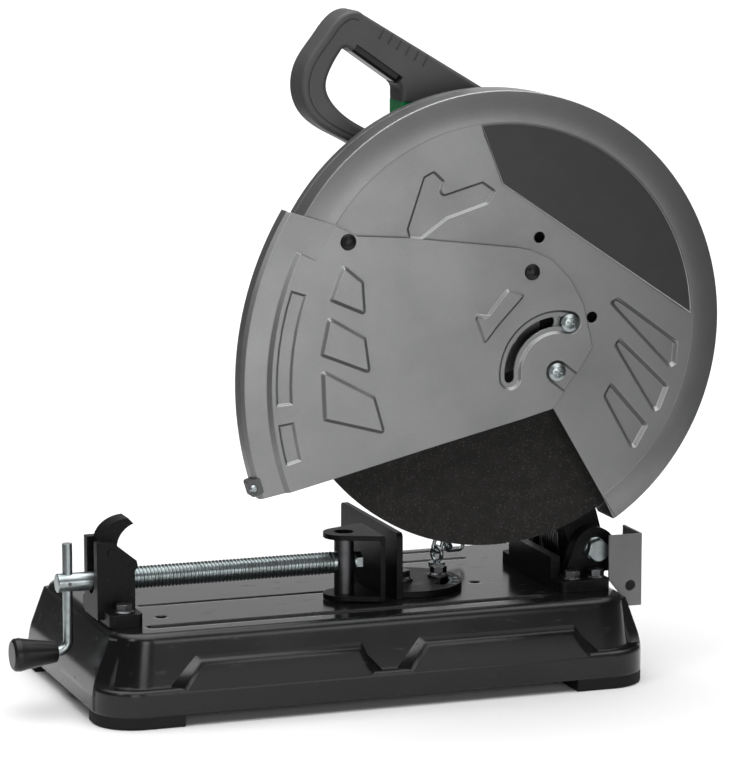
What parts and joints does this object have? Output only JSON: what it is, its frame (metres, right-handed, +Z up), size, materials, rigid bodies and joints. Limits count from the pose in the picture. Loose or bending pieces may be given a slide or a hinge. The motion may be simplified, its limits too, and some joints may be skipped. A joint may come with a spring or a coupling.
{
  "type": "cut-off saw",
  "caption": "Metal cut-off saw: black steel base with a screw vise and swivel fence, a hinged arm with a green motor, grey guards over an abrasive wheel, and a D-handle.",
  "frame": {"origin": "on the floor under the middle of the whole saw's box, arm at the pictured height", "axes": "X runs from the crank to the hinge, Y from the wheel side to the motor side, Z is up"},
  "size_m": [0.577, 0.256, 0.5485],
  "materials": {
    "pan_black": "gloss black enamel on pressed steel",
    "cast_black": "black paint on rough castings and thick plate",
    "alloy_black": "black paint on light alloy castings",
    "zinc": "bright zinc plate",
    "dark_steel": "blackened steel",
    "machined_steel": "turned and ground steel",
    "guard_grey": "gunmetal paint on stamped sheet",
    "spark_grey": "mid grey paint on folded sheet",
    "label_dark": "bare satin label film",
    "green_plastic": "moulded green housing",
    "black_plastic": "moulded black plastic with a light grain",
    "trigger_plastic": "smooth black plastic",
    "rubber_black": "moulded rubber",
    "abrasive": "resin bonded grit, charcoal with fine specks",
    "winding": "varnished copper winding on a laminated core",
    "bearing_steel": "ground bearing steel"
  },
  "bodies": {
    "base": {"base_pan": "pan_black", "rubber_feet": "rubber_black", "vise_bracket": "cast_black", "bracket_bolts": "zinc", "nut_pin": "zinc", "hinge_bracket": "cast_black", "hinge_bracket_bolts": "zinc", "hinge_bolt": "zinc", "hinge_nut": "zinc", "spark_guard": "spark_grey", "spark_guard_screw": "zinc", "return_spring": "dark_steel", "chain_eye": "zinc", "lock_chain": "zinc", "fence_bolts": "zinc"},
    "fence": {"fence": "cast_black"},
    "vise_slide": {"vise_post": "dark_steel"},
    "jaw": {"vise_jaw": "cast_black"},
    "screw": {"vise_screw": "zinc", "screw_retainer": "zinc", "crank_rod": "zinc", "crank_pin": "dark_steel"},
    "knob": {"crank_knob": "black_plastic"},
    "half_nut": {"half_nut": "cast_black"},
    "arm": {"arm_casting": "alloy_black", "gear_cover": "alloy_black", "motor_housing": "green_plastic", "motor_end_cap": "black_plastic", "brush_caps": "black_plastic", "stator": "winding", "spindle_bearings": "bearing_steel", "armature_bearings": "bearing_steel", "fixed_guard": "guard_grey", "guard_label": "label_dark", "rear_guard": "guard_grey", "guard_screws": "zinc", "cover_screws": "zinc", "handle_near": "black_plastic", "handle_far": "black_plastic", "handle_screws": "dark_steel", "trigger_pin": "machined_steel", "switch_block": "black_plastic", "cord_gland": "rubber_black"},
    "wheel": {"spindle": "machined_steel", "driven_gear": "machined_steel", "inner_flange": "machined_steel", "abrasive_wheel": "abrasive", "outer_flange": "machined_steel", "wheel_bolt": "dark_steel"},
    "rotor": {"armature": "winding", "pinion": "machined_steel", "fan": "black_plastic"},
    "cover": {"guard_cover": "guard_grey", "cover_buttons": "black_plastic", "rim_clip": "black_plastic", "clip_screw": "zinc"},
    "trigger": {"trigger": "trigger_plastic"},
    "lock_button": {"lock_button": "trigger_plastic"},
    "spindle_lock": {"spindle_lock": "dark_steel"}
  },
  "joints": [
    {"name": "arm_swing", "type": "hinge", "parent": "base", "child": "arm", "pos_m": [0.1995, 0, 0.103], "axis": [0, 1, 0], "range_deg": [-18, 25], "stiffness_Nm_per_rad": 20, "springref_deg": 34.38, "deforming": ["return_spring"]},
    {"name": "wheel_spin", "type": "hinge", "parent": "arm", "child": "wheel", "pos_m": [0.0985, -0.092, 0.2968], "axis": [0, 1, 0], "continuous": true},
    {"name": "rotor_spin", "type": "hinge", "parent": "arm", "child": "rotor", "pos_m": [0.0925, 0, 0.35147], "axis": [0, 1, 0], "continuous": true},
    {"name": "cover_swing", "type": "hinge", "parent": "arm", "child": "cover", "pos_m": [0.1445, -0.116, 0.2611], "axis": [0, 1, 0], "range_deg": [0, 105]},
    {"name": "trigger_pull", "type": "hinge", "parent": "arm", "child": "trigger", "pos_m": [0.00771, -0.035, 0.52529], "axis": [0, 1, 0], "range_deg": [-6, 0], "stiffness_Nm_per_rad": 1.5, "springref_deg": 2.86},
    {"name": "lock_button_press", "type": "slide", "parent": "arm", "child": "lock_button", "axis": [0, -1, 0], "range_m": [0, 0.003], "stiffness_N_per_m": 400, "springref_m": -0.003},
    {"name": "spindle_lock_press", "type": "slide", "parent": "arm", "child": "spindle_lock", "axis": [-1, 0, 0], "range_m": [0, 0.0025], "stiffness_N_per_m": 600, "springref_m": -0.004},
    {"name": "vise_travel", "type": "slide", "parent": "base", "child": "vise_slide", "axis": [1, 0, 0], "range_m": [-0.151, 0.0005]},
    {"name": "screw_spin", "type": "hinge", "parent": "vise_slide", "child": "screw", "pos_m": [-0.0115, -0.045, 0.1033], "axis": [1, 0, 0], "range_deg": [-18000, 0]},
    {"name": "knob_spin", "type": "hinge", "parent": "screw", "child": "knob", "pos_m": [-0.2705, -0.045, 0.048], "axis": [1, 0, 0], "continuous": true},
    {"name": "jaw_swivel", "type": "hinge", "parent": "vise_slide", "child": "jaw", "pos_m": [-0.0115, -0.045, 0.103], "axis": [0, 0, 1], "range_deg": [-45, 45]},
    {"name": "half_nut_release", "type": "hinge", "parent": "base", "child": "half_nut", "pos_m": [-0.2115, -0.045, 0.128], "axis": [0, 1, 0], "range_deg": [-70, 0]},
    {"name": "fence_swivel", "type": "hinge", "parent": "base", "child": "fence", "pos_m": [0.0475, -0.02, 0.076], "axis": [0, 0, 1], "range_deg": [0, 45]}
  ],
  "couplings": [
    {"joint": "rotor_spin", "follows": "wheel_spin", "ratio": -4},
    {"joint": "vise_travel", "follows": "screw_spin", "m_per_rad": 0.00047746}
  ]
}
